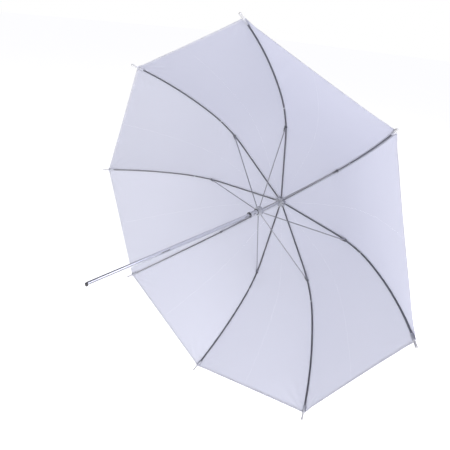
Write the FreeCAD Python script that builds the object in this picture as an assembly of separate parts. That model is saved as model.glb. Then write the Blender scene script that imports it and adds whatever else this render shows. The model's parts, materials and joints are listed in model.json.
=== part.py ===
import FreeCAD, Part
import math
import os
from FreeCAD import Vector

# Umbrella reflector for studio lighting: eight ribs, a fabric canopy and a sliding runner on one shaft.
# Lengths are in mm and angles in degrees. Every piece is first made in the umbrella's own frame: +Z runs
# along the shaft towards its free end, the ribs' pivot ring lies in the XY plane, rib 1 lies on +X.
# seat() then turns the finished piece so that the shaft is level, rib 1 points up (+Z), and the origin
# is on the shaft's axis in the middle of the stretch that a bracket holds.

# ---- driving dimensions ----
RIB_COUNT = 8
FOLD_ANGLE = 56.0           # how far each rib folds

SHAFT_DIAMETER = 8.0
SHAFT_WALL = 0.6
SHAFT_CHAMFER = 0.5
GRIP_LENGTH = 135.5         # plain stretch at the free end, for a bracket
CRIMP_WIDTH = 3.0           # rolled groove that ends the plain stretch
CRIMP_DEPTH = 0.35
CRIMP_ROOM = 10.0           # from the folded runner's mouth to the groove
END_CAP_HEAD = 3.0
END_CAP_PLUG = 10.0
END_CAP_ROUND = 1.2

RING_WIRE_DIAMETER = 1.0    # rings on which the ribs and the stretchers turn
EYE_RADIUS = 1.7
EYE_CLEARANCE = 0.2         # round the ring wire, and each side of a blade in its slot
BLADE_THICKNESS = 1.2       # flattened inner end of a rib or stretcher
BLADE_LAP = 1.5             # how far a blade runs into its wire or channel

RIB_START_SLOPE = 12.85     # lean of the rib's straight start towards the open side
RIB_STRAIGHT = 166.0
RIB_BEND_RADIUS = 262.5
RIB_BEND_LENGTH = 125.0
RIB_OUTER_RADIUS = 655.0
RIB_LENGTH = 507.0          # along the rib, from its pivot to the fabric's corner
RIB_TO_JOINT = 205.0        # along the rib, from its pivot to the stretcher's rivet
RIB_WIDTH = 2.4
RIB_HEIGHT = 2.2
RIB_WALL = 0.5
RIB_END_SHORT = 4.0         # the steel ends this far short of the fabric's corner
RIB_BLADE_PAST_NOTCH = 4.0

STRETCHER_DIAMETER = 2.4
STRETCHER_BLADE_PAST_CROWN = 5.0
FORK_ROOM = 0.9             # between the fork's crotch and the rib, with the umbrella open
FORK_CLEARANCE = 0.2        # between a fork's ear and the rib
FORK_WEB = 2.5
FORK_ROUND = 1.2
EAR_THICKNESS = 0.8
EAR_WALL = 0.94

RIVET_DIAMETER = 1.8
RIVET_RUNNING = 0.06        # radial clearance of the fork on the rivet
RIVET_HEAD_RADIUS = 1.7
RIVET_HEAD_HEIGHT = 0.6
RIVET_GAP = 0.15            # between a rivet's head and the fork

NOTCH_WALL = 2.1            # between the shaft and the slots
NOTCH_LIP = 4.0             # from the pivot ring to the notch's rim
NOTCH_FLANGE = 1.5
NOTCH_HEIGHT = 5.0          # from the pivots to the open face of the notch or the crown
CROWN_LIP = 3.5             # from the pivot ring to the runner crown's rim
RUNNER_CLEARANCE = 0.25
SLEEVE_WALL = 1.95
SLEEVE_LENGTH = 38.0        # from the runner's pivots to its mouth
MOUTH_WALL = 1.4            # how far the mouth's ring stands out from the sleeve
MOUTH_LENGTH = 5.0
MOUTH_BORE_WALL = 0.6       # how much thinner than the sleeve's wall the mouth's recess leaves it
MOUTH_BORE_DEPTH = 3.0
WINDOW_START = 19.0         # slot in the sleeve that the lower catch springs into
WINDOW_LENGTH = 10.0
WINDOW_WIDTH = 3.0

CATCH_THICKNESS = 1.6
CATCH_LENGTH = 34.0         # from a catch's steep face to its root
CATCH_PROUD = 2.2           # how far a catch stands out of the shaft
CATCH_FLAT = 1.5            # length of its edge
CATCH_SLOPE = 15.0          # from its steep face to the slope's foot
CATCH_SLOPE_DROP = 3.6
CATCH_BACK = 0.6            # half height of the catch's arm
CATCH_SIDE = 0.3            # clearance each side of a catch in its slot
CATCH_CLEARANCE = 0.8       # between a catch's steep face and its slot's end
CATCH_SLOT_LENGTH = 21.0
CATCH_GAP = 0.6             # between a catch and the runner that it holds
CATCH_AZIMUTH = -67.5       # between the second and third ribs

TIP_WALL = 0.87
TIP_FIT = 0.1
TIP_SOCKET = 13.0
TIP_ROUND = 0.8
TIP_NOSE = 16.0             # from the fabric's corner to the tip's end
TIP_NECK_RADIUS = 2.1
TIP_BALL_RADIUS = 2.6

FABRIC_THICKNESS = 0.5
FABRIC_CLEARANCE = 0.3      # between the corners of a stretcher's fork and the fabric
PANEL_SEAM_GAP = 0.3        # each side of a rib's plane
PANEL_MIDDLE_GAP = 0.2      # each side of a gore's middle
PANEL_START = 6.0
TIP_RELIEF = 0.4

CROWN_PATCH_LIP = 1.5       # how far the patch shows round the notch
CROWN_PATCH_THICKNESS = 0.6
WASHER_RADIUS = 10.0
WASHER_THICKNESS = 1.5
WASHER_ROUND = 0.8
FERRULE_WALL = 1.4
FERRULE_TAPER = 8.0
FERRULE_ROUND = 2.0
SHAFT_IN_FERRULE = 18.0

# ---- sizes worked out from them ----
SHAFT_RADIUS = SHAFT_DIAMETER / 2
BORE_RADIUS = SHAFT_RADIUS - SHAFT_WALL
WIRE_RADIUS = RING_WIRE_DIAMETER / 2
EYE_HOLE_RADIUS = WIRE_RADIUS + EYE_CLEARANCE
SLOT_WIDTH = BLADE_THICKNESS + 2 * EYE_CLEARANCE
SLOT_FLOOR_RADIUS = SHAFT_RADIUS + NOTCH_WALL
SLOT_FLOOR_Z = EYE_RADIUS + EYE_CLEARANCE
PIVOT_RING_RADIUS = SLOT_FLOOR_RADIUS + SLOT_FLOOR_Z
NOTCH_RADIUS = PIVOT_RING_RADIUS + NOTCH_LIP
NOTCH_BACK_Z = -SLOT_FLOOR_Z - NOTCH_FLANGE
CROWN_RADIUS = PIVOT_RING_RADIUS + CROWN_LIP
PATCH_BACK_Z = NOTCH_BACK_Z - CROWN_PATCH_THICKNESS
WASHER_BACK_Z = PATCH_BACK_Z - WASHER_THICKNESS
SLEEVE_RADIUS = SHAFT_RADIUS + RUNNER_CLEARANCE + SLEEVE_WALL
RIB_BLADE_LENGTH = NOTCH_HEIGHT + RIB_BLADE_PAST_NOTCH
STRETCHER_BLADE_LENGTH = NOTCH_HEIGHT + STRETCHER_BLADE_PAST_CROWN
RIVET_RADIUS = RIVET_DIAMETER / 2
EAR_RADIUS = RIVET_RADIUS + RIVET_RUNNING + EAR_WALL
FORK_INNER = RIB_WIDTH / 2 + FORK_CLEARANCE
FORK_OUTER = FORK_INNER + EAR_THICKNESS
TIP_RADIUS = math.hypot(RIB_WIDTH / 2 + TIP_FIT, RIB_HEIGHT / 2 + TIP_FIT) + TIP_WALL
HALF_PITCH = 180.0 / RIB_COUNT
RIB_RUNS = [
    (RIB_STRAIGHT, None),
    (RIB_BEND_LENGTH, RIB_BEND_RADIUS),
    (10 * RIB_LENGTH, RIB_OUTER_RADIUS),
]
FAR = 2 * RIB_LENGTH
X_AXIS = Vector(1, 0, 0)
Y_AXIS = Vector(0, 1, 0)
Z_AXIS = Vector(0, 0, 1)
CENTRE = Vector(0, 0, 0)


def rib_line(s):
    """The rib's line at s from its pivot: its radius, its z and its heading in radians."""
    radius = PIVOT_RING_RADIUS
    z = 0.0
    heading = math.radians(RIB_START_SLOPE)
    for length, bend in RIB_RUNS:
        step = min(s, length)
        if bend is None:
            radius += step * math.cos(heading)
            z += step * math.sin(heading)
        else:
            end_heading = heading + step / bend
            radius += bend * (math.sin(end_heading) - math.sin(heading))
            z -= bend * (math.cos(end_heading) - math.cos(heading))
            heading = end_heading
        s -= step
        if s <= 0:
            break
    return radius, z, heading


def rib_point(s, offset=0.0):
    """A point in rib 1's plane, offset from the rib's line towards the outside of the umbrella."""
    radius, z, heading = rib_line(s)
    return Vector(radius + offset * math.sin(heading), 0, z - offset * math.cos(heading))


def rib_stops(start, end):
    """start, the ends of the rib's runs between them, and end."""
    ends = [RIB_STRAIGHT, RIB_STRAIGHT + RIB_BEND_LENGTH]
    return [start] + [s for s in ends if start < s < end] + [end]


def rib_edges(start, end, offset):
    """The line that follows the rib from start to end at that offset, as straight and round edges."""
    edges = []
    stops = rib_stops(start, end)
    for a, b in zip(stops, stops[1:]):
        first = rib_point(a, offset)
        last = rib_point(b, offset)
        if b <= RIB_STRAIGHT:
            edges.append(Part.LineSegment(first, last).toShape())
        else:
            edges.append(Part.Arc(first, rib_point((a + b) / 2, offset), last).toShape())
    return edges


def rib_band(start, end, inner, outer):
    """A flat face in rib 1's plane that follows the rib between two offsets."""
    edges = rib_edges(start, end, outer)
    edges.append(Part.LineSegment(rib_point(end, outer), rib_point(end, inner)).toShape())
    edges += rib_edges(start, end, inner)[::-1]
    edges.append(Part.LineSegment(rib_point(start, inner), rib_point(start, outer)).toShape())
    return Part.Face(Part.Wire(Part.__sortEdges__(edges)))


def rib_bar(start, end, inner, outer, width):
    """A bar of that width that follows the rib between two offsets."""
    face = rib_band(start, end, inner, outer)
    face.translate(Vector(0, -width / 2, 0))
    return face.extrude(Vector(0, width, 0))


JOINT = rib_point(RIB_TO_JOINT)
STRETCHER_LENGTH = math.hypot(JOINT.x - PIVOT_RING_RADIUS, JOINT.z)
OPEN_ANGLE = math.degrees(math.atan2(JOINT.x - PIVOT_RING_RADIUS, JOINT.z))
RUNNER_OPEN_Z = 2 * JOINT.z
RUNNER_CLOSED_Z = 2 * STRETCHER_LENGTH * math.cos(math.radians(OPEN_ANGLE - FOLD_ANGLE))
FORK_DEPTH = (RIB_HEIGHT / 2 + EAR_RADIUS + FORK_ROOM) / math.sin(math.radians(2 * (90 - OPEN_ANGLE)))
FABRIC_FALL = math.tan(math.radians(HALF_PITCH)) * math.sin(rib_line(RIB_TO_JOINT)[2])
# beside a rib the fabric falls away towards the shaft by FABRIC_FALL for each mm, and clears the fork there
FABRIC_OFFSET = max(EAR_RADIUS, RIB_HEIGHT / 2) + FORK_OUTER * FABRIC_FALL + FABRIC_CLEARANCE
CRIMP_END = RUNNER_CLOSED_Z + SLEEVE_LENGTH + CRIMP_ROOM + CRIMP_WIDTH
SHAFT_LENGTH = CRIMP_END + GRIP_LENGTH + SHAFT_CHAMFER
HUB_Y = CRIMP_END + GRIP_LENGTH / 2


def disc(radius, z_from, z_to, bore=0.0):
    """A round plate on the shaft's axis, with an optional bore."""
    plate = Part.makeCylinder(radius, z_to - z_from, Vector(0, 0, z_from))
    if bore:
        plate = plate.cut(Part.makeCylinder(bore, z_to - z_from, Vector(0, 0, z_from)))
    return plate


def cross_pin(radius, length, centre):
    """A cylinder across the rib's plane, centred on a point in it."""
    return Part.makeCylinder(radius, length, centre - Y_AXIS * (length / 2), Y_AXIS)


def rim_at(shape, z):
    """The round edges of a piece at that height."""
    return [e for e in shape.Edges if e.Closed and abs(e.CenterOfMass.z - z) < 0.01]


def turned(shape, azimuth):
    """A copy of a piece turned about the shaft."""
    copy = shape.copy()
    copy.rotate(CENTRE, Z_AXIS, azimuth)
    return copy


def seat(shape):
    """A copy of a finished piece in the part's own frame: shaft level, rib 1 up, origin at the grip."""
    to_row = FreeCAD.Matrix(0, -1, 0, 0, 0, 0, -1, HUB_Y, 1, 0, 0, 0, 0, 0, 0, 1)
    return shape.copy().transformShape(to_row, True)


# ---- shaft, its end cap and its catches ----
CATCHES = {
    "open_catch": (RUNNER_OPEN_Z + SLEEVE_LENGTH + CATCH_GAP, 1),
    "closed_catch": (RUNNER_CLOSED_Z + WINDOW_START + WINDOW_LENGTH - CATCH_GAP, -1),
}


def catch_slot(z_edge, towards):
    """The slot in the shaft for a catch whose steep face is at z_edge and whose root lies towards."""
    start = z_edge - towards * CATCH_CLEARANCE
    low = min(start, start + towards * CATCH_SLOT_LENGTH)
    width = CATCH_THICKNESS + 2 * CATCH_SIDE
    box = Part.makeBox(2 * SHAFT_RADIUS, width, CATCH_SLOT_LENGTH, Vector(0, -width / 2, low))
    return turned(box, CATCH_AZIMUTH)


def shaft_tube():
    start = WASHER_BACK_Z - SHAFT_IN_FERRULE
    tube = disc(SHAFT_RADIUS, start, SHAFT_LENGTH)
    tube = tube.makeChamfer(SHAFT_CHAMFER, rim_at(tube, SHAFT_LENGTH))
    tube = tube.cut(disc(BORE_RADIUS, start, SHAFT_LENGTH))
    groove = disc(2 * SHAFT_RADIUS, CRIMP_END - CRIMP_WIDTH, CRIMP_END, SHAFT_RADIUS - CRIMP_DEPTH)
    tube = tube.cut(groove)
    for z_edge, towards in CATCHES.values():
        tube = tube.cut(catch_slot(z_edge, towards))
    return tube


def shaft_end_cap():
    top = SHAFT_LENGTH + END_CAP_HEAD
    head = disc(SHAFT_RADIUS - SHAFT_CHAMFER, SHAFT_LENGTH, top)
    head = head.makeFillet(END_CAP_ROUND, rim_at(head, top))
    return head.fuse(disc(BORE_RADIUS, SHAFT_LENGTH - END_CAP_PLUG, SHAFT_LENGTH)).removeSplitter()


def catch(z_edge, towards):
    """A bent spring leg in the shaft: a steep face that holds the runner and a slope it rides over."""
    edge = SHAFT_RADIUS + CATCH_PROUD
    outline = [
        (-CATCH_BACK, 0),
        (edge, 0),
        (edge, CATCH_FLAT),
        (edge - CATCH_SLOPE_DROP, CATCH_SLOPE),
        (CATCH_BACK, CATCH_LENGTH),
        (-CATCH_BACK, CATCH_LENGTH),
    ]
    points = [Vector(r, -CATCH_THICKNESS / 2, z_edge + towards * z) for r, z in outline]
    face = Part.Face(Part.makePolygon(points + points[:1]))
    return turned(face.extrude(Y_AXIS * CATCH_THICKNESS), CATCH_AZIMUTH)


# ---- the notch that holds the ribs, and the crown outside the fabric ----
def slotted(body, z_open, z_floor):
    """Cuts the ring wire's groove and one radial slot for each rib or stretcher."""
    groove = WIRE_RADIUS + EYE_CLEARANCE / 2
    body = body.cut(disc(FAR, -groove, groove, PIVOT_RING_RADIUS - groove))
    low = min(z_open, z_floor)
    slot = Part.makeBox(NOTCH_RADIUS, SLOT_WIDTH, abs(z_open - z_floor))
    slot.translate(Vector(SLOT_FLOOR_RADIUS, -SLOT_WIDTH / 2, low))
    for k in range(RIB_COUNT):
        body = body.cut(turned(slot, 2 * HALF_PITCH * k))
    return body


def top_notch():
    body = disc(NOTCH_RADIUS, NOTCH_BACK_Z, NOTCH_HEIGHT, SHAFT_RADIUS)
    return slotted(body, NOTCH_HEIGHT, -SLOT_FLOOR_Z)


def ring_wire(z):
    return Part.makeTorus(PIVOT_RING_RADIUS, WIRE_RADIUS, Vector(0, 0, z))


def crown_patch():
    return disc(NOTCH_RADIUS + CROWN_PATCH_LIP, PATCH_BACK_Z, NOTCH_BACK_Z, SHAFT_RADIUS)


def crown_washer():
    plate = disc(WASHER_RADIUS, WASHER_BACK_Z, PATCH_BACK_Z)
    plate = plate.makeFillet(WASHER_ROUND, rim_at(plate, WASHER_BACK_Z))
    return plate.cut(disc(SHAFT_RADIUS, WASHER_BACK_Z, PATCH_BACK_Z))


def ferrule_cap():
    """A round cap over the shaft's end: straight past the shaft, then tapered to a rounded nose."""
    shaft_end = WASHER_BACK_Z - SHAFT_IN_FERRULE
    straight_end = shaft_end - FERRULE_WALL
    nose = straight_end - FERRULE_TAPER
    cap = disc(SHAFT_RADIUS + FERRULE_WALL, straight_end, WASHER_BACK_Z)
    cone = Part.makeCone(SHAFT_RADIUS, SHAFT_RADIUS + FERRULE_WALL, FERRULE_TAPER, Vector(0, 0, nose))
    cone = cone.makeFillet(FERRULE_ROUND, rim_at(cone, nose))
    return cap.fuse(cone).cut(disc(SHAFT_RADIUS, shaft_end, WASHER_BACK_Z))


# ---- the runner ----
def runner_sleeve():
    """The sliding runner: a slotted crown that carries the stretchers, on a sleeve with a wide mouth."""
    crown_back = SLOT_FLOOR_Z + NOTCH_FLANGE
    crown = slotted(disc(CROWN_RADIUS, -NOTCH_HEIGHT, crown_back), -NOTCH_HEIGHT, SLOT_FLOOR_Z)
    sleeve = disc(SLEEVE_RADIUS, crown_back, SLEEVE_LENGTH)
    mouth = disc(SLEEVE_RADIUS + MOUTH_WALL, SLEEVE_LENGTH - MOUTH_LENGTH, SLEEVE_LENGTH)
    body = crown.fuse([sleeve, mouth])
    body = body.cut(disc(SHAFT_RADIUS + RUNNER_CLEARANCE, -NOTCH_HEIGHT, SLEEVE_LENGTH))
    recess = disc(SLEEVE_RADIUS - MOUTH_BORE_WALL, SLEEVE_LENGTH - MOUTH_BORE_DEPTH, SLEEVE_LENGTH)
    body = body.cut(recess)
    window = Part.makeBox(2 * SLEEVE_RADIUS, WINDOW_WIDTH, WINDOW_LENGTH)
    window.translate(Vector(0, -WINDOW_WIDTH / 2, WINDOW_START))
    body = body.cut(turned(window, CATCH_AZIMUTH)).removeSplitter()
    body.translate(Z_AXIS * RUNNER_OPEN_Z)
    return body


# ---- one rib with its tip, rivet and stretcher ----
def rib():
    half = RIB_HEIGHT / 2
    end = RIB_LENGTH - RIB_END_SHORT
    blade = rib_bar(0, RIB_BLADE_LENGTH, -half, half, BLADE_THICKNESS)
    eye = cross_pin(EYE_RADIUS, BLADE_THICKNESS, rib_point(0))
    channel = rib_bar(RIB_BLADE_LENGTH - BLADE_LAP, end, -half, half, RIB_WIDTH)
    trough_width = RIB_WIDTH - 2 * RIB_WALL
    trough = rib_bar(RIB_BLADE_LENGTH + BLADE_LAP, end, -RIB_HEIGHT, half - RIB_WALL, trough_width)
    body = channel.cut(trough).fuse([blade, eye])
    body = body.cut(cross_pin(EYE_HOLE_RADIUS, RIB_WIDTH, rib_point(0)))
    return body.cut(cross_pin(RIVET_RADIUS, 2 * RIB_WIDTH, JOINT)).removeSplitter()


def along_rib_end(shape):
    """Puts a piece made along +X from the fabric's corner in line with the rib's end."""
    shape.rotate(CENTRE, Y_AXIS, -math.degrees(rib_line(RIB_LENGTH)[2]))
    shape.translate(rib_point(RIB_LENGTH))
    return shape


def rib_tip():
    """A moulded tip: a socket over the rib's end, a neck that the fabric's corner is tied to, and a ball."""
    socket = Part.makeCylinder(TIP_RADIUS, TIP_SOCKET, X_AXIS * -TIP_SOCKET, X_AXIS)
    socket = socket.makeFillet(TIP_ROUND, [e for e in socket.Edges if e.Closed])
    ball_centre = TIP_NOSE - TIP_BALL_RADIUS
    neck = Part.makeCylinder(TIP_NECK_RADIUS, ball_centre + TIP_ROUND, X_AXIS * -TIP_ROUND, X_AXIS)
    ball = Part.makeSphere(TIP_BALL_RADIUS, X_AXIS * ball_centre)
    body = along_rib_end(socket.fuse([neck, ball]))
    half = RIB_HEIGHT / 2 + TIP_FIT
    width = RIB_WIDTH + 2 * TIP_FIT
    pocket = rib_bar(RIB_LENGTH - 2 * TIP_SOCKET, RIB_LENGTH - RIB_END_SHORT, -half, half, width)
    return body.cut(pocket)


def joint_rivet():
    half = FORK_OUTER + RIVET_GAP
    body = cross_pin(RIVET_RADIUS, 2 * half, JOINT)
    for side in (-1, 1):
        centre = JOINT + Y_AXIS * (side * (half + RIVET_HEAD_HEIGHT / 2))
        body = body.fuse(cross_pin(RIVET_HEAD_RADIUS, RIVET_HEAD_HEIGHT, centre))
    return body


def stretcher():
    """A wire strut from the rib's rivet, where it forks round the rib, to the runner's ring."""
    length = STRETCHER_LENGTH
    wire_length = length - FORK_DEPTH - STRETCHER_BLADE_LENGTH + BLADE_LAP
    wire = Part.makeCylinder(STRETCHER_DIAMETER / 2, wire_length, X_AXIS * FORK_DEPTH, X_AXIS)
    fork_end = FORK_DEPTH + FORK_WEB
    fork = Part.makeBox(fork_end, 2 * FORK_OUTER, 2 * EAR_RADIUS, Vector(0, -FORK_OUTER, -EAR_RADIUS))
    fork = fork.fuse(cross_pin(EAR_RADIUS, 2 * FORK_OUTER, CENTRE)).removeSplitter()
    fork = fork.makeFillet(FORK_ROUND, [e for e in fork.Edges if e.BoundBox.XMin > FORK_DEPTH])
    gap = Part.makeBox(2 * FORK_DEPTH, 2 * FORK_INNER, FAR, Vector(-FORK_DEPTH, -FORK_INNER, -FAR / 2))
    fork = fork.cut(gap)
    blade = Part.makeBox(STRETCHER_BLADE_LENGTH, BLADE_THICKNESS, RIB_HEIGHT)
    blade.translate(Vector(length - STRETCHER_BLADE_LENGTH, -BLADE_THICKNESS / 2, -RIB_HEIGHT / 2))
    eye = cross_pin(EYE_RADIUS, BLADE_THICKNESS, X_AXIS * length)
    body = wire.fuse([fork, blade, eye])
    body = body.cut(cross_pin(RIVET_RADIUS + RIVET_RUNNING, 4 * FORK_OUTER, CENTRE))
    body = body.cut(cross_pin(EYE_HOLE_RADIUS, 4 * FORK_OUTER, X_AXIS * length)).removeSplitter()
    body.rotate(CENTRE, Y_AXIS, -(90 + OPEN_ANGLE))
    body.translate(JOINT)
    return body


# ---- the canopy: each gore is two half panels, one on each of its ribs ----
def half_panel():
    """From rib 1's plane to the middle of the gore beside it. Between two ribs the fabric is straight."""
    turn = math.radians(HALF_PITCH)
    across = Vector(-math.sin(turn), math.cos(turn), 0)
    face = rib_band(PANEL_START, RIB_LENGTH, FABRIC_OFFSET, FABRIC_OFFSET + FABRIC_THICKNESS)
    face.translate(across * (PANEL_SEAM_GAP / math.cos(turn)))
    panel = face.extrude(across * RIB_LENGTH)
    beyond = Part.makeBox(FAR, FAR, FAR, Vector(-FAR / 2, -PANEL_MIDDLE_GAP, -FAR / 2))
    panel = panel.cut(turned(beyond, HALF_PITCH))
    room = TIP_RADIUS + TIP_RELIEF
    relief = Part.makeCylinder(room, 2 * TIP_SOCKET, X_AXIS * -(TIP_SOCKET + TIP_RELIEF), X_AXIS)
    return panel.cut(along_rib_end(relief))


def make_all():
    """Every piece by name, in the umbrella's own frame."""
    pieces = {
        "shaft_tube": shaft_tube(),
        "shaft_end_cap": shaft_end_cap(),
        "top_notch": top_notch(),
        "notch_wire": ring_wire(0),
        "crown_patch": crown_patch(),
        "crown_washer": crown_washer(),
        "ferrule_cap": ferrule_cap(),
        "runner_sleeve": runner_sleeve(),
        "runner_wire": ring_wire(RUNNER_OPEN_Z),
    }
    for name, (z_edge, towards) in CATCHES.items():
        pieces[name] = catch(z_edge, towards)
    left = half_panel()
    on_first_rib = {
        "rib": rib(),
        "rib_tip": rib_tip(),
        "joint_rivet": joint_rivet(),
        "stretcher": stretcher(),
        "canopy_left": left,
        "canopy_right": left.mirror(CENTRE, Y_AXIS),
    }
    for k in range(RIB_COUNT):
        for name, shape in on_first_rib.items():
            pieces[f"{name}_{k + 1}"] = turned(shape, -2 * HALF_PITCH * k)
    return pieces


os.makedirs("parts", exist_ok=True)
for piece_name, piece in make_all().items():
    seat(piece).exportStep(f"parts/{piece_name}.step")
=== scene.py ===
import bpy
import bmesh
import json
import math
from mathutils import Matrix, Vector


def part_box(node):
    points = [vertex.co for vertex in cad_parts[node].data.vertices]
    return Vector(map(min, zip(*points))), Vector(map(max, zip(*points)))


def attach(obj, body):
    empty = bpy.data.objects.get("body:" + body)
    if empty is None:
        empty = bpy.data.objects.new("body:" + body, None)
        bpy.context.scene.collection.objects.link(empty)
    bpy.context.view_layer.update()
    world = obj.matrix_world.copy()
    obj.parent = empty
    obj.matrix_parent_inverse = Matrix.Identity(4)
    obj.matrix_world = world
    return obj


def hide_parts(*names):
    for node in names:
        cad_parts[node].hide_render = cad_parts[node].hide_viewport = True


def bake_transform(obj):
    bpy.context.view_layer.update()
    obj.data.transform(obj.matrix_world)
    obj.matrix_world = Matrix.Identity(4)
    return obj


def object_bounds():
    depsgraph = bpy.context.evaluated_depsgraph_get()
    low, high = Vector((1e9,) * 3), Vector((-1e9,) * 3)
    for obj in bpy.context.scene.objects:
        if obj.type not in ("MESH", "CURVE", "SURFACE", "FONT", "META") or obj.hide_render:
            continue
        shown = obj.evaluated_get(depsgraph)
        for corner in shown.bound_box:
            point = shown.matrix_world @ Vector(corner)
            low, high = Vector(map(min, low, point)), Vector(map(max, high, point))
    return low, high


# Umbrella reflector: a white cloth canopy on eight folding ribs, a sliding runner on one nickel shaft.
# Metres throughout. The shaft runs along Y, its hub is at +Y and the umbrella opens towards -Y.
# Rib 1 points up, and each next rib is an eighth of a turn further round.

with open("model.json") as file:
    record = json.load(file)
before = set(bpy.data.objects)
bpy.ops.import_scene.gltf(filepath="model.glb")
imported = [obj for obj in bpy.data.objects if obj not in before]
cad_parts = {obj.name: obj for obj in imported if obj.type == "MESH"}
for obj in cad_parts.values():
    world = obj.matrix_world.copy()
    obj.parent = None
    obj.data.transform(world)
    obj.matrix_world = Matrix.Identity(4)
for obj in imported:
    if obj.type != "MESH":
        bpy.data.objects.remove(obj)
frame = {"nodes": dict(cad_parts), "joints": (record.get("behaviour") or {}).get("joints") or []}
cad_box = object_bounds()
nodes = frame["nodes"]
joints = {joint["name"]: joint for joint in frame["joints"]}

# ---------------------------------------------------------------- sizes

RIBS = 8
HALF_PITCH = math.pi / RIBS
HUB_Y = joints["rib_1_fold"]["pos_m"][1]
PIVOT_RING = joints["rib_1_fold"]["pos_m"][2]
NOTCH_BACK_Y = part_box("top_notch")[1].y
NOTCH_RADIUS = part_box("top_notch")[1].x
MOUTH_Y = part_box("runner_sleeve")[0].y
CROWN_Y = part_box("runner_sleeve")[1].y
SLEEVE_RADIUS = 0.0062

RIB_LEAN = math.radians(12.85)
RIB_RUNS = ((0.166, None), (0.125, 0.2625), (5.0, 0.655))   # length and bend radius of each run
RIB_LENGTH = 0.507
RIB_TO_JOINT = 0.205
RIB_TO_TIE = 0.257
SOCKET_RADIUS = 0.00264
SOCKET_LENGTH = 0.013
NECK_RADIUS = 0.0021

CLOTH_START = 0.0072
CLOTH_OFF_RIB = 0.00175
CLOTH_OVER_FORK = 0.0010
CLOTH_OVER_SOCKET = 0.0013
HEM_WIDTH = 0.0045
SEAM_WIDTH = 0.0040
FOLD_THICKNESS = 0.0003
GORE_BOW = 0.022
MIDDLE_GAP = 0.00003
PLEAT_EASE = 0.7
PATCH_RADIUS = 0.0175
POCKET_LENGTH = 0.0144
THREAD_RADIUS = 0.00028
THREAD_COUNT = 6200.0           # the weave's threads, as radians per metre of cloth
STITCH_LENGTH = 0.0026
STITCH_HALF_WIDTH = 0.00022
STITCH_SHOWN = 0.74             # share of each stitch that lies on top
SEAM_LINE_AT = 0.0024           # from the rib
HEM_LINE_AT = 0.0036            # from the hem's edge


# ---------------------------------------------------------------- where things are on a rib

def rib_line(s):
    """Radius, depth from the hub and heading of a rib's line, s metres along it from its pivot."""
    radius, depth, heading = PIVOT_RING, 0.0, RIB_LEAN
    for length, bend in RIB_RUNS:
        step = min(s, length)
        if bend is None:
            radius += step * math.cos(heading)
            depth += step * math.sin(heading)
        else:
            end = heading + step / bend
            radius += bend * (math.sin(end) - math.sin(heading))
            depth -= bend * (math.cos(end) - math.cos(heading))
            heading = end
        s -= step
        if s <= 0:
            break
    return radius, depth, heading


def turn_to(rib):
    """The turn about the shaft that carries rib 1 to this rib."""
    return Matrix.Rotation((rib - 1) * 2 * HALF_PITCH, 4, "Y")


def beside_rib(radius, side, depth):
    """A point of rib 1's space: radius up, side to the left of the rib, depth towards the open side."""
    return Vector((-side, HUB_Y - depth, radius))


def rib_place(rib, s):
    """A frame on the rib: its Y runs along the rib to the tip and its Z points out of the umbrella."""
    radius, depth, heading = rib_line(s)
    along = Vector((0, -math.sin(heading), math.cos(heading)))
    out = Vector((0, math.cos(heading), math.sin(heading)))
    turn = Matrix((along.cross(out), along, out)).transposed().to_4x4()
    return turn_to(rib) @ Matrix.Translation(beside_rib(radius, 0, depth)) @ turn


def smooth(t):
    t = min(max(t, 0.0), 1.0)
    return t * t * (3 - 2 * t)


def hump(t):
    return math.exp(-t * t)


# ---------------------------------------------------------------- shader groups

def new_group(name, inputs, outputs):
    """An empty shader node group with these sockets, and its input and output nodes."""
    tree = bpy.data.node_groups.new(name, "ShaderNodeTree")
    for socket, kind, value in inputs:
        made = tree.interface.new_socket(name=socket, in_out="INPUT", socket_type=kind)
        if value is not None:
            made.default_value = value
    for socket in outputs:
        tree.interface.new_socket(name=socket, in_out="OUTPUT", socket_type="NodeSocketFloat")
    return tree, tree.nodes.new("NodeGroupInput"), tree.nodes.new("NodeGroupOutput")


def put(value, socket):
    """Links a socket to another one, or sets a plain value on it."""
    if isinstance(value, bpy.types.NodeSocket):
        socket.id_data.links.new(value, socket)
    else:
        socket.default_value = value


def maths(tree, operation, a, b=0.0):
    node = tree.nodes.new("ShaderNodeMath")
    node.operation = operation
    put(a, node.inputs[0])
    put(b, node.inputs[1])
    return node.outputs[0]


def noise(tree, vector, scale, detail=2.0, roughness=0.5):
    node = tree.nodes.new("ShaderNodeTexNoise")
    put(vector, node.inputs["Vector"])
    put(scale, node.inputs["Scale"])
    node.inputs["Detail"].default_value = detail
    node.inputs["Roughness"].default_value = roughness
    return node.outputs["Fac"]


def spread(tree, value, low, high):
    """Maps 0..1 to low..high."""
    node = tree.nodes.new("ShaderNodeMapRange")
    put(value, node.inputs["Value"])
    put(low, node.inputs["To Min"])
    put(high, node.inputs["To Max"])
    return node.outputs["Result"]


def blend_colours(tree, share, a, b):
    """Mixes two colours. A Mix node keeps its colour sockets after the ones for numbers and vectors."""
    share_socket, first_colour, second_colour, mixed_colour = 0, 6, 7, 2
    node = tree.nodes.new("ShaderNodeMix")
    node.data_type = "RGBA"
    put(share, node.inputs[share_socket])
    put(a, node.inputs[first_colour])
    put(b, node.inputs[second_colour])
    return node.outputs[mixed_colour]


def stretched(tree, vector, scale):
    node = tree.nodes.new("ShaderNodeMapping")
    put(vector, node.inputs["Vector"])
    node.inputs["Scale"].default_value = scale
    return node.outputs["Vector"]


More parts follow.
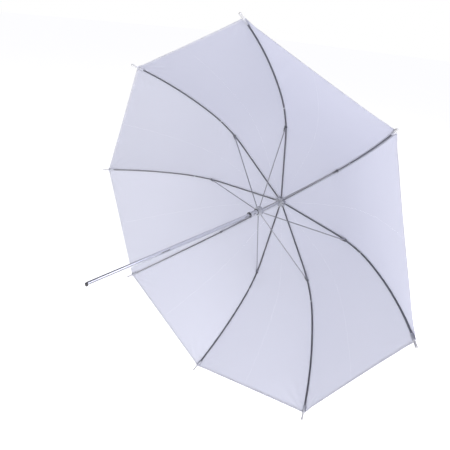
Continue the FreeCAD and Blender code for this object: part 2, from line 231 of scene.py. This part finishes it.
def plain_weave():
    """Crossing threads on a cloth's own map: the height of the threads and the pores between them."""
    tree, given, out = new_group(
        "plain_weave",
        [("Vector", "NodeSocketVector", None), ("Threads", "NodeSocketFloat", THREAD_COUNT)],
        ["Height", "Pores"],
    )
    parts = tree.nodes.new("ShaderNodeSeparateXYZ")
    put(given.outputs["Vector"], parts.inputs[0])
    across = maths(tree, "MULTIPLY", parts.outputs["X"], given.outputs["Threads"])
    along = maths(tree, "MULTIPLY", parts.outputs["Y"], given.outputs["Threads"])
    warp = maths(tree, "ABSOLUTE", maths(tree, "SINE", across))
    weft = maths(tree, "ABSOLUTE", maths(tree, "SINE", along))
    over = maths(tree, "SINE", maths(tree, "MULTIPLY", across, 0.5))
    under = maths(tree, "SINE", maths(tree, "MULTIPLY", along, 0.5))
    swap = maths(tree, "MULTIPLY", maths(tree, "MULTIPLY", over, under), 0.5)
    put(maths(tree, "ADD", maths(tree, "MAXIMUM", warp, weft), swap), out.inputs["Height"])
    between_warp = maths(tree, "SUBTRACT", 1.0, warp)
    between_weft = maths(tree, "SUBTRACT", 1.0, weft)
    put(maths(tree, "MULTIPLY", between_warp, between_weft), out.inputs["Pores"])
    return tree


def stitch_row():
    """A row of lockstitch along a line of the cloth's map: 1 on the thread, 0 elsewhere."""
    tree, given, out = new_group(
        "stitch_row",
        [
            ("Off Line", "NodeSocketFloat", 0.0),
            ("Along", "NodeSocketFloat", 0.0),
            ("Line At", "NodeSocketFloat", SEAM_LINE_AT),
            ("Stitch", "NodeSocketFloat", STITCH_LENGTH),
        ],
        ["Mask"],
    )
    away = maths(tree, "SUBTRACT", given.outputs["Off Line"], given.outputs["Line At"])
    near = maths(tree, "LESS_THAN", maths(tree, "ABSOLUTE", away), STITCH_HALF_WIDTH)
    step = maths(tree, "FRACT", maths(tree, "DIVIDE", given.outputs["Along"], given.outputs["Stitch"]))
    put(maths(tree, "MULTIPLY", near, maths(tree, "LESS_THAN", step, STITCH_SHOWN)), out.inputs["Mask"])
    return tree


def handling_marks():
    """Uneven finish of a used surface: broad clouding, fine grain and sparse scratches."""
    tree, given, out = new_group(
        "handling_marks",
        [("Vector", "NodeSocketVector", None), ("Size", "NodeSocketFloat", 1.0)],
        ["Cloud", "Grain", "Scratch"],
    )
    size = given.outputs["Size"]
    where = given.outputs["Vector"]
    put(noise(tree, where, maths(tree, "MULTIPLY", size, 35.0), 3.0), out.inputs["Cloud"])
    put(noise(tree, where, maths(tree, "MULTIPLY", size, 1800.0), 2.0), out.inputs["Grain"])
    line = noise(tree, stretched(tree, where, (1.0, 0.12, 1.0)), maths(tree, "MULTIPLY", size, 620.0), 1.0)
    put(maths(tree, "GREATER_THAN", line, 0.70), out.inputs["Scratch"])
    return tree


def drawn_lines():
    """Fine lines left along a drawn tube, which runs along Y."""
    tree, given, out = new_group("drawn_lines", [("Vector", "NodeSocketVector", None)], ["Line"])
    lean = stretched(tree, given.outputs["Vector"], (1.0, 0.012, 1.0))
    put(noise(tree, lean, 2600.0, 3.0, 0.6), out.inputs["Line"])
    return tree


WEAVE = plain_weave()
STITCHES = stitch_row()
MARKS = handling_marks()
DRAWN = drawn_lines()


# ---------------------------------------------------------------- finishes

def new_material(name):
    """A material with a Principled shader, and its tree, shader and output."""
    made = bpy.data.materials.new(name)
    made.use_nodes = True
    tree = made.node_tree
    tree.nodes.clear()
    shader = tree.nodes.new("ShaderNodeBsdfPrincipled")
    out = tree.nodes.new("ShaderNodeOutputMaterial")
    put(shader.outputs["BSDF"], out.inputs["Surface"])
    return made, tree, shader, out


def place(tree, group, **values):
    node = tree.nodes.new("ShaderNodeGroup")
    node.node_tree = group
    for socket, value in values.items():
        put(value, node.inputs[socket.replace("_", " ")])
    return node.outputs


def object_place(tree):
    return tree.nodes.new("ShaderNodeTexCoord").outputs["Object"]


def raised(tree, shader, height, distance, strength=1.0):
    bump = tree.nodes.new("ShaderNodeBump")
    bump.inputs["Strength"].default_value = strength
    bump.inputs["Distance"].default_value = distance
    put(height, bump.inputs["Height"])
    put(bump.outputs["Normal"], shader.inputs["Normal"])


def hard_finish(
    name, colour, worn, rough, metal=0.0, coat=0.0, size=1.0, relief=0.00002, drawn=False, edge_tint=1.0
):
    """A hard finish: clouded colour, worn scratches, uneven gloss and a fine relief."""
    made, tree, shader, _ = new_material(name)
    where = object_place(tree)
    marks = place(tree, MARKS, Vector=where, Size=size)
    tint = blend_colours(tree, spread(tree, marks["Cloud"], 0.0, 0.35), (*colour, 1), (*worn, 1))
    tint = blend_colours(tree, maths(tree, "MULTIPLY", marks["Scratch"], 0.45), tint, (*worn, 1))
    put(tint, shader.inputs["Base Color"])
    clouded = spread(tree, marks["Cloud"], rough - 0.07, rough + 0.10)
    uneven = maths(tree, "ADD", clouded, maths(tree, "MULTIPLY", marks["Grain"], 0.06))
    if drawn:
        line = place(tree, DRAWN, Vector=where)["Line"]
        uneven = maths(tree, "ADD", uneven, spread(tree, line, -0.05, 0.07))
        raised(tree, shader, line, relief)
    else:
        raised(tree, shader, marks["Grain"], relief)
    put(maths(tree, "MAXIMUM", uneven, 0.04), shader.inputs["Roughness"])
    shader.inputs["Metallic"].default_value = metal
    shader.inputs["Specular Tint"].default_value = (edge_tint, edge_tint, edge_tint, 1)
    shader.inputs["Coat Weight"].default_value = coat
    shader.inputs["Coat Roughness"].default_value = 0.15
    return made


def cloth_finish(name, thread, pore, doubled_highlight_tint, see_through):
    """Thin white nylon that lets light through: plain weave, soft clouding, sewn hem and seams."""
    made, tree, shader, out = new_material(name)
    own_map = tree.nodes.new("ShaderNodeUVMap")
    own_map.uv_map = "cloth"
    parts = tree.nodes.new("ShaderNodeSeparateXYZ")
    put(own_map.outputs["UV"], parts.inputs[0])
    from_rib, along_rib = parts.outputs["X"], parts.outputs["Y"]
    from_hem = maths(tree, "SUBTRACT", RIB_LENGTH, along_rib)
    weave = place(tree, WEAVE, Vector=own_map.outputs["UV"], Threads=THREAD_COUNT)
    cloud = noise(tree, object_place(tree), 5.0, 3.0)
    slub = noise(tree, stretched(tree, own_map.outputs["UV"], (1.0, 0.03, 1.0)), 900.0, 2.0)
    seam = place(
        tree, STITCHES, Off_Line=from_rib, Along=along_rib, Line_At=SEAM_LINE_AT, Stitch=STITCH_LENGTH
    )
    hem = place(
        tree, STITCHES, Off_Line=from_hem, Along=from_rib, Line_At=HEM_LINE_AT, Stitch=STITCH_LENGTH
    )
    sewn = maths(tree, "MAXIMUM", seam["Mask"], hem["Mask"])
    in_hem = maths(tree, "LESS_THAN", from_hem, HEM_WIDTH)
    in_seam = maths(tree, "LESS_THAN", from_rib, SEAM_WIDTH)
    folded = maths(tree, "MAXIMUM", in_hem, in_seam)
    tint = blend_colours(tree, maths(tree, "MULTIPLY", weave["Pores"], 0.5), (*thread, 1), (*pore, 1))
    tint = blend_colours(tree, spread(tree, cloud, 0.0, 0.30), tint, (*pore, 1))
    tint = blend_colours(tree, spread(tree, slub, 0.0, 0.10), tint, (*pore, 1))
    # Lighter tint on the hem and seam allowance: doubled cloth, and beside the ribs partly a painted
    # highlight.
    tint = blend_colours(tree, maths(tree, "MULTIPLY", folded, 0.85), tint, (*doubled_highlight_tint, 1))
    tint = blend_colours(tree, maths(tree, "MULTIPLY", sewn, 0.35), tint, (0.95, 0.95, 0.96, 1))
    put(tint, shader.inputs["Base Color"])
    put(spread(tree, cloud, 0.50, 0.68), shader.inputs["Roughness"])
    shader.inputs["Sheen Weight"].default_value = 0.10
    shader.inputs["Sheen Roughness"].default_value = 0.4
    shader.inputs["Specular IOR Level"].default_value = 0.3
    relief = maths(tree, "ADD", weave["Height"], maths(tree, "MULTIPLY", sewn, 3.0))
    relief = maths(tree, "ADD", relief, maths(tree, "MULTIPLY", slub, 0.8))
    raised(tree, shader, relief, 0.00004, 0.7)
    through = tree.nodes.new("ShaderNodeBsdfTranslucent")
    put(tint, through.inputs["Color"])
    both = tree.nodes.new("ShaderNodeMixShader")
    both.inputs["Fac"].default_value = see_through
    put(shader.outputs["BSDF"], both.inputs[1])
    put(through.outputs["BSDF"], both.inputs[2])
    put(both.outputs["Shader"], out.inputs["Surface"])
    return made


nickel = hard_finish(
    "bright_nickel", (0.84, 0.85, 0.88), (0.66, 0.66, 0.68), 0.17,
    metal=1.0, relief=0.000004, drawn=True, edge_tint=0.40,
)
rib_coat = hard_finish(
    "grey_rib_coat", (0.250, 0.252, 0.285), (0.38, 0.38, 0.41), 0.34, metal=0.8, coat=0.2, edge_tint=0.8
)
strut_wire = hard_finish(
    "grey_strut_wire", (0.330, 0.333, 0.370), (0.45, 0.45, 0.48), 0.34, metal=0.9, edge_tint=0.8
)
rivet_steel = hard_finish("dull_rivet_steel", (0.13, 0.13, 0.14), (0.38, 0.38, 0.38), 0.40, metal=0.95)
spring_steel = hard_finish(
    "spring_steel", (0.45, 0.45, 0.46), (0.60, 0.60, 0.60), 0.24, metal=1.0, relief=0.000006
)
dark_plastic = hard_finish("dark_plastic", (0.035, 0.035, 0.038), (0.09, 0.09, 0.095), 0.46, relief=0.00003)
pale_plastic = hard_finish("pale_runner_plastic", (0.47, 0.48, 0.54), (0.40, 0.41, 0.45), 0.36, coat=0.25)
white_plastic = hard_finish("white_tip_plastic", (0.60, 0.60, 0.61), (0.50, 0.50, 0.51), 0.34, coat=0.2)
white_thread = hard_finish(
    "white_thread", (0.80, 0.80, 0.84), (0.66, 0.66, 0.71), 0.70, size=3.0, relief=0.00008
)
white_cloth = cloth_finish(
    "white_nylon", (0.690, 0.700, 0.780), (0.630, 0.642, 0.735), (0.78, 0.785, 0.83), 0.47
)
patch_cloth = cloth_finish(
    "patch_nylon", (0.660, 0.670, 0.730), (0.600, 0.612, 0.690), (0.70, 0.705, 0.75), 0.30
)


def finish_node(node, material):
    """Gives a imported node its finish; its shape stays."""
    slots = nodes[node].data.materials
    if not slots:
        slots.append(material)
    for at in range(len(slots)):
        slots[at] = material


single_nodes = {
    "shaft_tube": nickel,
    "shaft_end_cap": dark_plastic,
    "top_notch": pale_plastic,
    "notch_wire": spring_steel,
    "crown_washer": white_plastic,
    "ferrule_cap": white_plastic,
    "runner_sleeve": pale_plastic,
    "runner_wire": spring_steel,
    "open_catch": spring_steel,
    "closed_catch": spring_steel,
}
for node, material in single_nodes.items():
    finish_node(node, material)
for rib in range(1, RIBS + 1):
    finish_node(f"rib_{rib}", rib_coat)
    finish_node(f"rib_tip_{rib}", white_plastic)
    finish_node(f"joint_rivet_{rib}", rivet_steel)
    finish_node(f"stretcher_{rib}", strut_wire)


# ---------------------------------------------------------------- making pieces

def as_object(bm, name, material):
    """Turns a finished bmesh into a smooth object at the origin, with its place in its mesh."""
    mesh = bpy.data.meshes.new(name)
    bm.to_mesh(mesh)
    bm.free()
    mesh.materials.append(material)
    mesh.shade_smooth()
    made = bpy.data.objects.new(name, mesh)
    bpy.context.scene.collection.objects.link(made)
    return made


def add_ring(bm, radius, thickness, at, steps, sides):
    """Adds a closed round ring about the Y axis, its middle at that height on it."""
    turned = Matrix.Translation((radius, at, 0))
    circle = bmesh.ops.create_circle(bm, segments=sides, radius=thickness, matrix=turned)["verts"]
    edges = list({edge for vert in circle for edge in vert.link_edges})
    bmesh.ops.spin(
        bm,
        geom=circle + edges,
        cent=(0, 0, 0),
        axis=(0, 1, 0),
        angle=2 * math.pi,
        steps=steps,
        use_merge=True,
    )
    bmesh.ops.remove_doubles(bm, verts=bm.verts[:], dist=thickness * 0.01)
    bmesh.ops.recalc_face_normals(bm, faces=bm.faces[:])


# ---- dark rings round the runner, one round its mouth and one under its crown: painted shade where the runner is in shadow
MOUTH_RING_PROUD = 0.0002       # from the sleeve's surface to the middle of the ring's section
MOUTH_RING_THICKNESS = 0.00075
MOUTH_RING_UP = 0.00035         # from the sleeve's mouth
COLLAR_RING_PROUD = 0.0006
COLLAR_RING_THICKNESS = 0.0009
COLLAR_RING_DOWN = 0.0155       # from the crown's top


# Each ring is painted shade: a dark band on the runner where it lies in shadow.
def runner_shade_ring(name, radius, thickness, y):
    bm = bmesh.new()
    add_ring(bm, radius, thickness, y, steps=56, sides=12)
    made = as_object(bm, name, dark_plastic)
    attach(made, "runner")


runner_shade_ring("mouth_shade_ring", SLEEVE_RADIUS + MOUTH_RING_PROUD, MOUTH_RING_THICKNESS, MOUTH_Y + MOUTH_RING_UP)
runner_shade_ring(
    "collar_shade_ring", SLEEVE_RADIUS + COLLAR_RING_PROUD, COLLAR_RING_THICKNESS, CROWN_Y - COLLAR_RING_DOWN
)


# ---- thread: the corners are tied to the tips' necks, and the cloth is tied to each rib once
THREAD_PITCH = 1.8 * THREAD_RADIUS
THREAD_OFF_CORE = 0.7 * THREAD_RADIUS
TIE_CORE = 0.00175              # radius of what the tie on a rib goes round
CORNER_PAST_CLOTH = 0.0014
CORNER_TURNS = 3
TIE_TURNS = 4


def thread_wraps(name, rib, s, radius, turns):
    bm = bmesh.new()
    for turn in range(turns):
        along = (turn - (turns - 1) / 2) * THREAD_PITCH
        add_ring(bm, radius + THREAD_OFF_CORE, THREAD_RADIUS, along, steps=28, sides=8)
    bmesh.ops.transform(bm, matrix=rib_place(rib, s), verts=bm.verts[:])
    made = as_object(bm, name, white_thread)
    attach(made, f"rib_{rib}")


for rib in range(1, RIBS + 1):
    thread_wraps(f"corner_thread_{rib}", rib, RIB_LENGTH + CORNER_PAST_CLOTH, NECK_RADIUS, CORNER_TURNS)
    thread_wraps(f"rib_tie_{rib}", rib, RIB_TO_TIE, TIE_CORE, TIE_TURNS)


# ---- cloth: sixteen half gores that meet along the ribs and along the gores' middles
ALONG = 180     # rows of cloth from hub to hem
ACROSS = 26     # columns from rib to middle
HEM_ROWS = 3
SEAM_COLUMNS = 2
ROW_EASE = 1.25                 # over 1 draws the rows together towards the hem
COLUMN_EASE = 0.45              # share of the columns' spread that draws them together at the rib
FORK_REACH = 0.009              # how far the cloth's rise over a fork goes along the rib
FORK_SPREAD = 0.020             # and to the side
SOCKET_EASE = 0.011             # the climb onto the tip's socket
SOCKET_EASE_EARLY = 0.012       # where it starts, before the socket
SOCKET_SPREAD = 0.030
CORNER_LENGTH = 0.0022          # the stretch at the corner that the thread pulls down
CORNER_SPREAD = 0.012
CORNER_PULL = 0.0006
SEAM_PUCKER = 0.00016
SEAM_WAVES = (0.0125, 0.0191)   # two wave lengths along the seam
JOINT_PUCKER = 0.00030
JOINT_WAVE = 0.0135
CORNER_FOLD = 0.00045
CORNER_FOLDS = 15               # waves for each radian about the corner


def cloth_lift(s, side):
    """How far out from the rib's line the cloth runs: more over the fork and over the tip's socket."""
    over_fork = hump((s - RIB_TO_JOINT) / FORK_REACH)
    lift = CLOTH_OFF_RIB + CLOTH_OVER_FORK * over_fork * hump(side / FORK_SPREAD)
    climb_at = RIB_LENGTH - SOCKET_LENGTH - SOCKET_EASE_EARLY
    over_socket = smooth((s - climb_at) / SOCKET_EASE) * smooth(1 - side / SOCKET_SPREAD)
    lift += CLOTH_OVER_SOCKET * over_socket
    at_corner = smooth((s - (RIB_LENGTH - CORNER_LENGTH)) / CORNER_LENGTH) * smooth(1 - side / CORNER_SPREAD)
    return lift - CORNER_PULL * at_corner


def cloth_bow(s, share, width):
    """Inward bow of a stretched gore, 0 on the rib and most in its middle."""
    reach = smooth((s - 0.02) / 0.10) * (1 - 0.62 * smooth((s - 0.40) / 0.107))
    return GORE_BOW * width * reach * (1 - (1 - share) ** 2)


def cloth_pucker(s, side, phase):
    """Small puckers sewn in beside the rib, more of them near its joint, and folds from the corner."""
    by_seam = hump(side / 0.016) * smooth((s - 0.03) / 0.05)
    long_wave, short_wave = SEAM_WAVES[1], SEAM_WAVES[0]
    waves = math.sin(s * 2 * math.pi / short_wave + phase)
    waves += 0.6 * math.sin(s * 2 * math.pi / long_wave + 1.7 * phase)
    by_joint = hump((s - 0.225) / 0.05) * hump((side - 0.014) / 0.020) * (0.6 + 0.4 * math.sin(3.1 * phase))
    leaning = math.sin((s + 0.5 * side) * 2 * math.pi / JOINT_WAVE + 2.3 * phase)
    from_corner = math.hypot(RIB_LENGTH - s, side)
    fan = math.atan2(side, RIB_LENGTH - s + 0.004)
    folds = math.sin(fan * CORNER_FOLDS + phase)
    drawn = hump((from_corner - 0.035) / 0.030) * folds * smooth(side / 0.006)
    quiet = smooth(side / 0.003)
    return quiet * (SEAM_PUCKER * by_seam * waves + JOINT_PUCKER * by_joint * leaning + CORNER_FOLD * drawn)


def cloth_point(s, share, phase, inward=0.0, side=None):
    """A point of rib 1's half gore and how far to the side it is.

    The share is 0 at the rib and 1 at the gore's middle, and a side in metres takes its place.
    """
    radius, depth, heading = rib_line(s)
    width = radius * math.sin(HALF_PITCH)
    if side is None:
        side = share * width
    share = side / width
    lift = cloth_lift(s, side) - inward - cloth_bow(s, share, width)
    lift -= cloth_pucker(s, side, phase) * (1 - smooth((share - 0.8) / 0.2))
    radius += lift * math.sin(heading)
    depth -= lift * math.cos(heading)
    side = share * (radius * math.sin(HALF_PITCH) - MIDDLE_GAP)
    along_side = Vector((-math.sin(HALF_PITCH), math.cos(HALF_PITCH), 0))
    return Vector((radius, 0, depth)) + side * along_side, side


def half_gore(rib, mirror):
    """One half gore with its hem turned in and its seam allowance folded back beside the rib."""
    bm = bmesh.new()
    rows, columns = ALONG + HEM_ROWS, ACROSS + SEAM_COLUMNS
    bmesh.ops.create_grid(bm, x_segments=columns, y_segments=rows, size=0.5)
    own_map = bm.loops.layers.uv.new("cloth")
    shares, flat = [], {}
    for v in bm.verts:
        column = round((v.co.x + 0.5) * columns) - SEAM_COLUMNS
        row = round((v.co.y + 0.5) * rows)
        t = min(row, ALONG) / ALONG
        s = CLOTH_START + (RIB_LENGTH - CLOTH_START) * (1 - (1 - t) ** ROW_EASE)
        inward = 0.0
        if row > ALONG:
            inward = FOLD_THICKNESS
            s = RIB_LENGTH - HEM_WIDTH * (row - ALONG - 1) / (HEM_ROWS - 1)
        side, share = None, max(column, 0) / ACROSS
        share = COLUMN_EASE * share ** 2 + (1 - COLUMN_EASE) * share
        if column < 0:
            inward += 0.8 * FOLD_THICKNESS
            side = SEAM_WIDTH * (-column - 1) / (SEAM_COLUMNS - 1)
            side = min(side, 0.4 * rib_line(s)[0] * math.sin(HALF_PITCH))
        point, side = cloth_point(s, share, 1.3 * mirror + 0.9 * rib, inward, side)
        flat[v] = (side, s)
        shares.append(smooth(math.atan2(point.y, point.x) / HALF_PITCH) ** PLEAT_EASE)
        v.co = turn_to(rib) @ beside_rib(point.x, mirror * point.y, point.z)
    for face in bm.faces:
        for loop in face.loops:
            loop[own_map].uv = flat[loop.vert]
    if mirror > 0:
        bmesh.ops.reverse_faces(bm, faces=bm.faces[:])
    side_name = "left" if mirror > 0 else "right"
    made = as_object(bm, f"cloth_{side_name}_{rib}", white_cloth)
    pleat = f"canopy_{side_name}_{rib}"
    radius, depth, _ = rib_line(0.6 * RIB_LENGTH)
    middle = cloth_point(0.6 * RIB_LENGTH, 1.0, 0.0)[0]
    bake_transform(made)
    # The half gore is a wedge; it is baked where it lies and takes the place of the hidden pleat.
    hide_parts(pleat)
    return made


STRIPS = 100
GORE_AREA = sum(
    rib_line(RIB_LENGTH * (i + 0.5) / STRIPS)[0] * math.sin(HALF_PITCH) * RIB_LENGTH / STRIPS
    for i in range(STRIPS)
)
CUT_WIDTH = rib_line(RIB_LENGTH)[0] * math.sin(HALF_PITCH) + SEAM_WIDTH
for rib in range(1, RIBS + 1):
    for mirror in (1, -1):
        half_gore(rib, mirror)


# ---- a small cloth pocket at each corner holds the tip's socket
POCKET_WRAP = 1.9               # radians that each half of the pocket goes round the socket
POCKET_ROUND = 0.75             # the share of its width that does
POCKET_WING = 0.0019            # the rest lies out to the side
POCKET_WING_RISE = 0.0004
POCKET_LOOSE = 0.00040
POCKET_GATHER = 0.00060         # how much its mouth is drawn in
POCKET_FOLD = 0.00012
POCKET_PAST_CORNER = 0.0007


def pocket_section(u, radius):
    """Across and out of the umbrella, u from -1 to 1: round the socket, then out to the cloth."""
    turn = POCKET_WRAP * max(-1.0, min(1.0, u / POCKET_ROUND))
    x, z = radius * math.sin(turn), -radius * math.cos(turn)
    past = smooth((abs(u) - POCKET_ROUND) / (1 - POCKET_ROUND))
    return x + math.copysign(POCKET_WING, u) * past, z + POCKET_WING_RISE * past


def corner_pocket(rib):
    bm = bmesh.new()
    columns, rows = 28, 12
    bmesh.ops.create_grid(bm, x_segments=columns, y_segments=rows, size=0.5)
    own_map = bm.loops.layers.uv.new("cloth")
    at_corner = rib_place(rib, RIB_LENGTH)
    flat = {}
    for v in bm.verts:
        u, t = 2 * v.co.x, v.co.y + 0.5
        gathered = smooth((t - 0.82) / 0.18)
        radius = SOCKET_RADIUS + POCKET_LOOSE - POCKET_GATHER * gathered
        radius += POCKET_FOLD * math.sin(9 * u + rib) * gathered
        x, z = pocket_section(u, radius)
        flat[v] = (0.008 + 0.0055 * u, RIB_LENGTH - 0.030 + POCKET_LENGTH * t)
        v.co = at_corner @ Vector((x, POCKET_LENGTH * (t - 1) + POCKET_PAST_CORNER, z))
    for face in bm.faces:
        for loop in face.loops:
            loop[own_map].uv = flat[loop.vert]
    made = as_object(bm, f"corner_pocket_{rib}", patch_cloth)
    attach(made, f"rib_{rib}")


for rib in range(1, RIBS + 1):
    corner_pocket(rib)


# ---- a round patch of doubled cloth over the canopy's centre, clamped by the washer
PATCH_HOLE = 0.0041             # radius of the hole for the shaft
PATCH_UNDER_WASHER = 0.0080
PATCH_OFF_NOTCH = 0.0003
PATCH_ROLL = 0.0006             # each side of the notch's rim, where the patch turns down
PATCH_STEP = 0.0013             # how far down it turns
PATCH_STEP_END = 0.0018
PATCH_EDGE = 0.0018
PATCH_RIPPLE = 0.00018
PATCH_RIPPLES = 11


def crown_patch():
    """Flat under the washer, rolled over the notch's rim, then on down the slope of the ribs."""
    bm = bmesh.new()
    back = NOTCH_BACK_Y + PATCH_OFF_NOTCH
    cone = math.tan(RIB_LEAN)
    profile = [
        (PATCH_HOLE, back),
        (PATCH_UNDER_WASHER, back),
        (NOTCH_RADIUS - PATCH_ROLL, back),
        (NOTCH_RADIUS + PATCH_ROLL, back - 0.0004),
        (NOTCH_RADIUS + PATCH_STEP_END, back - PATCH_STEP),
        (PATCH_RADIUS - PATCH_EDGE, back - PATCH_STEP - 0.0019 * cone),
        (PATCH_RADIUS, back - PATCH_STEP - 0.0037 * cone),
    ]
    verts = [bm.verts.new((radius, y, 0)) for radius, y in profile]
    edges = [bm.edges.new(pair) for pair in zip(verts, verts[1:])]
    bmesh.ops.spin(
        bm,
        geom=verts + edges,
        cent=(0, 0, 0),
        axis=(0, 1, 0),
        angle=2 * math.pi,
        steps=64,
        use_merge=True,
    )
    bmesh.ops.subdivide_edges(bm, edges=bm.edges[:], cuts=1)
    own_map = bm.loops.layers.uv.new("cloth")
    for v in bm.verts:
        radius, turn = math.hypot(v.co.x, v.co.z), math.atan2(v.co.z, v.co.x)
        past_rim = smooth((radius - NOTCH_RADIUS) / 0.004)
        v.co.y += PATCH_RIPPLE * past_rim * math.sin(PATCH_RIPPLES * turn)
    for face in bm.faces:
        for loop in face.loops:
            loop[own_map].uv = (0.02 + loop.vert.co.x, 0.2 + loop.vert.co.z)
    made = as_object(bm, "crown_patch_cloth", patch_cloth)
    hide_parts("crown_patch")
    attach(made, "shaft")


crown_patch()


# ---------------------------------------------------------------- floor, light and camera

FLOOR_HALF_SIZE = 40.0
FLOOR_BELOW = 0.25              # from the umbrella's lowest point
FLOOR_GLOW = 0.82
STUDIO_LEVELS = (0.22, 0.22, 0.24)   # red, green and blue of the studio's own light
STUDIO_FALL = -0.08             # its change from level to overhead
LAMP_SIZE = 2.0
LAMP_AIM = Vector((0, 0.35, 0))


def pale_floor():
    bm = bmesh.new()
    bmesh.ops.create_grid(bm, x_segments=1, y_segments=1, size=FLOOR_HALF_SIZE)
    bmesh.ops.translate(bm, verts=bm.verts[:], vec=(0, 0, cad_box[0].z - FLOOR_BELOW))
    paint, tree, shader, _ = new_material("pale_floor")
    shader.inputs["Roughness"].default_value = 0.9
    shader.inputs["Specular IOR Level"].default_value = 0.1
    shade = spread(tree, noise(tree, object_place(tree), 3.0), 0.0, 0.1)
    tint = blend_colours(tree, shade, (0.97, 0.97, 0.97, 1), (0.93, 0.93, 0.93, 1))
    put(tint, shader.inputs["Base Color"])
    shader.inputs["Emission Color"].default_value = (1, 1, 1, 1)
    shader.inputs["Emission Strength"].default_value = FLOOR_GLOW
    as_object(bm, "floor", paint)


def studio_light():
    """Soft light from all round, a little dimmer overhead; the camera sees plain white."""
    world = bpy.data.worlds.new("studio")
    bpy.context.scene.world = world
    world.use_nodes = True
    tree = world.node_tree
    tree.nodes.clear()
    heading = tree.nodes.new("ShaderNodeSeparateXYZ")
    put(tree.nodes.new("ShaderNodeTexCoord").outputs["Generated"], heading.inputs[0])
    colour = tree.nodes.new("ShaderNodeCombineColor")
    for channel, level in enumerate(STUDIO_LEVELS):
        overhead = maths(tree, "MULTIPLY", heading.outputs["Z"], STUDIO_FALL)
        put(maths(tree, "ADD", overhead, level), colour.inputs[channel])
    lit = tree.nodes.new("ShaderNodeBackground")
    put(colour.outputs["Color"], lit.inputs["Color"])
    seen = tree.nodes.new("ShaderNodeBackground")
    seen.inputs["Color"].default_value = (1, 1, 1, 1)
    either = tree.nodes.new("ShaderNodeMixShader")
    put(tree.nodes.new("ShaderNodeLightPath").outputs["Is Camera Ray"], either.inputs["Fac"])
    put(lit.outputs["Background"], either.inputs[1])
    put(seen.outputs["Background"], either.inputs[2])
    out = tree.nodes.new("ShaderNodeOutputWorld")
    put(either.outputs["Shader"], out.inputs["Surface"])


def soft_lamp(name, place_at, power, colour):
    lamp = bpy.data.lights.new(name, "AREA")
    lamp.shape = "SQUARE"
    lamp.size = LAMP_SIZE
    lamp.energy = power
    lamp.color = colour
    made = bpy.data.objects.new(name, lamp)
    made.location = place_at
    made.rotation_euler = (LAMP_AIM - Vector(place_at)).to_track_quat("-Z", "Y").to_euler()
    made.visible_camera = False
    bpy.context.scene.collection.objects.link(made)


def studio_camera():
    camera = bpy.data.cameras.new("camera")
    camera.lens = 30.594
    camera.sensor_width = 36
    camera.shift_x = 0.0572
    camera.shift_y = -0.0434
    camera.clip_start = 0.01
    made = bpy.data.objects.new("camera", camera)
    made.location = (0.46698, -0.32814, 0.41021)
    made.rotation_euler = [math.radians(a) for a in (64.164, -5.613, 44.979)]
    bpy.context.scene.collection.objects.link(made)
    bpy.context.scene.camera = made
    bpy.context.scene.view_settings.view_transform = "Standard"


pale_floor()
studio_light()
soft_lamp("front_lamp", (2.36, -1.01, 1.27), 66, (1.0, 0.99, 0.97))
soft_lamp("back_lamp", (0.96, 2.02, 2.30), 46, (0.80, 0.81, 1.0))
soft_lamp("side_lamp", (1.93, 0.35, 2.30), 9, (0.85, 0.85, 1.0))
studio_camera()
